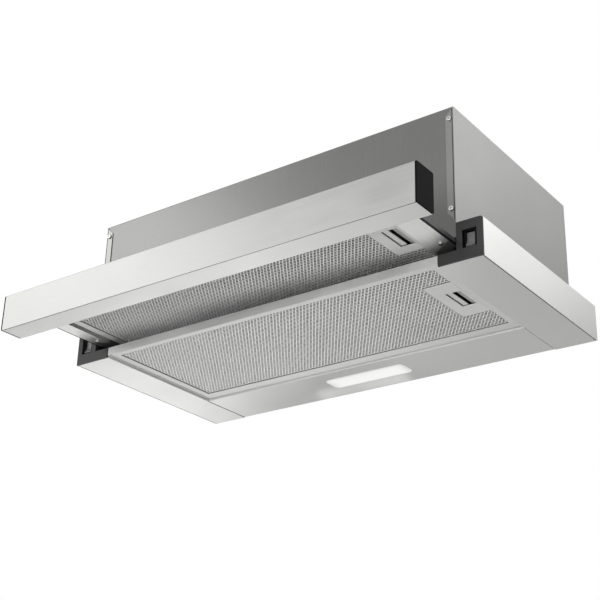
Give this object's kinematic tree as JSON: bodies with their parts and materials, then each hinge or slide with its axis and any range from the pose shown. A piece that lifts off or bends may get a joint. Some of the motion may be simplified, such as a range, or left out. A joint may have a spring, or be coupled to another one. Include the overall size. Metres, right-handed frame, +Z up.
{
  "type": "range hood",
  "caption": "Slide-out under cabinet range hood with a stainless visor drawer, perforated grease filters, rocker switches, a light and a blower in a painted body.",
  "frame": {"origin": "centre of the four cabinet screw holes, on the top face of the top panel", "axes": "+Z up, +Y towards the wall, +X to the right of someone facing the hood"},
  "size_m": [0.598, 0.412, 0.2358],
  "materials": {
    "body_paint": "fine textured silver grey powder coat",
    "stainless_trim": "brushed",
    "zinc_steel": "zinc plated sheet",
    "screw_steel": "zinc plated",
    "cap_plastic": "fine textured moulding",
    "end_cap_plastic": "fine textured black moulding",
    "switch_plastic": "moulded",
    "filter_aluminium": "mill finish sheet",
    "latch_plastic": "moulded light grey",
    "latch_housing_plastic": "moulded black",
    "spring_steel": "bright strip",
    "lens_diffuser": "frosted diffuser",
    "lamp_plastic": "moulded white",
    "circuit_board": "white solder mask",
    "blower_plastic": "moulded dark grey",
    "motor_can": "zinc plated can",
    "capacitor_can": "moulded white",
    "mount_rubber": "moulded",
    "lead_sheath": "grey sheath"
  },
  "bodies": {
    "hood": {"front_panel": "body_paint", "side_panel_left": "body_paint", "side_panel_right": "body_paint", "back_panel": "body_paint", "top_panel": "body_paint", "panel_screws": "screw_steel", "side_trim_left": "stainless_trim", "side_trim_right": "stainless_trim", "rear_light_panel": "stainless_trim", "front_cap_left": "cap_plastic", "front_cap_right": "cap_plastic", "switch_body_left": "switch_plastic", "switch_body_right": "switch_plastic", "guide_rails": "switch_plastic", "microswitch": "switch_plastic", "light_lens": "lens_diffuser", "lamp_housing": "lamp_plastic", "led_board": "circuit_board", "led_driver": "lamp_plastic", "scroll_left": "blower_plastic", "scroll_right": "blower_plastic", "motor": "motor_can", "motor_bracket": "zinc_steel", "motor_rubber_mounts": "mount_rubber", "capacitor": "capacitor_can", "outlet_flange": "blower_plastic", "outlet_collar": "blower_plastic", "cable_gland": "switch_plastic", "terminal_box": "lamp_plastic", "terminal_lid": "lamp_plastic", "wiring": "lead_sheath"},
    "drawer": {"visor_front": "stainless_trim", "visor_end_cap_left": "end_cap_plastic", "visor_end_cap_right": "end_cap_plastic", "visor_arm_left": "zinc_steel", "visor_arm_right": "zinc_steel", "visor_glides": "end_cap_plastic", "visor_rear_bar": "zinc_steel", "visor_arm_screws": "screw_steel", "visor_filter_frame": "filter_aluminium", "visor_filter_face": "filter_aluminium", "visor_filter_mesh": "filter_aluminium", "visor_filter_latch_plate": "latch_plastic", "visor_filter_latch_housing": "latch_housing_plastic", "visor_filter_latch_spring": "spring_steel"},
    "drawer_latch": {"visor_filter_latch": "latch_plastic"},
    "fixed_filter": {"filter_frame": "filter_aluminium", "filter_face": "filter_aluminium", "filter_mesh": "filter_aluminium", "filter_latch_plate": "latch_plastic", "filter_latch_housing": "latch_housing_plastic", "filter_latch_spring": "spring_steel"},
    "fixed_latch": {"filter_latch": "latch_plastic"},
    "rocker_left": {"rocker_left": "switch_plastic"},
    "rocker_right": {"rocker_right": "switch_plastic"},
    "rotor": {"impeller": "blower_plastic", "rotor_shaft": "zinc_steel"},
    "flap_front": {"flap_front": "blower_plastic"},
    "flap_rear": {"flap_rear": "blower_plastic"},
    "plunger": {"microswitch_plunger": "switch_plastic"}
  },
  "joints": [
    {"name": "drawer_slide", "type": "slide", "parent": "hood", "child": "drawer", "axis": [0, 1, 0], "range_m": [0, 0.0975]},
    {"name": "drawer_latch_slide", "type": "slide", "parent": "drawer", "child": "drawer_latch", "axis": [-1, 0, 0], "range_m": [0, 0.006], "stiffness_N_per_m": 300, "springref_m": -0.004, "deforming": ["visor_filter_latch_spring"]},
    {"name": "filter_swing", "type": "hinge", "parent": "hood", "child": "fixed_filter", "pos_m": [-0.2419, -0.041, -0.189], "axis": [0, 1, 0], "range_deg": [0, 75]},
    {"name": "filter_latch_slide", "type": "slide", "parent": "fixed_filter", "child": "fixed_latch", "axis": [-1, 0, 0], "range_m": [0, 0.006], "stiffness_N_per_m": 300, "springref_m": -0.004, "deforming": ["filter_latch_spring"]},
    {"name": "rocker_left_press", "type": "hinge", "parent": "hood", "child": "rocker_left", "pos_m": [-0.28295, -0.132, -0.16965], "axis": [1, 0, 0], "range_deg": [0, 18]},
    {"name": "rocker_right_press", "type": "hinge", "parent": "hood", "child": "rocker_right", "pos_m": [0.28295, -0.132, -0.16965], "axis": [1, 0, 0], "range_deg": [0, 18]},
    {"name": "rotor_spin", "type": "hinge", "parent": "hood", "child": "rotor", "pos_m": [0, -0.001, -0.085], "axis": [1, 0, 0], "continuous": true},
    {"name": "flap_front_swing", "type": "hinge", "parent": "hood", "child": "flap_front", "pos_m": [0, 0.0345, 0.0046], "axis": [-1, 0, 0], "range_deg": [0, 75]},
    {"name": "flap_rear_swing", "type": "hinge", "parent": "hood", "child": "flap_rear", "pos_m": [0, 0.0395, 0.0046], "axis": [1, 0, 0], "range_deg": [0, 75]},
    {"name": "plunger_press", "type": "slide", "parent": "hood", "child": "plunger", "axis": [0, 1, 0], "range_m": [0, 0.0015], "stiffness_N_per_m": 200, "springref_m": -0.002}
  ]
}
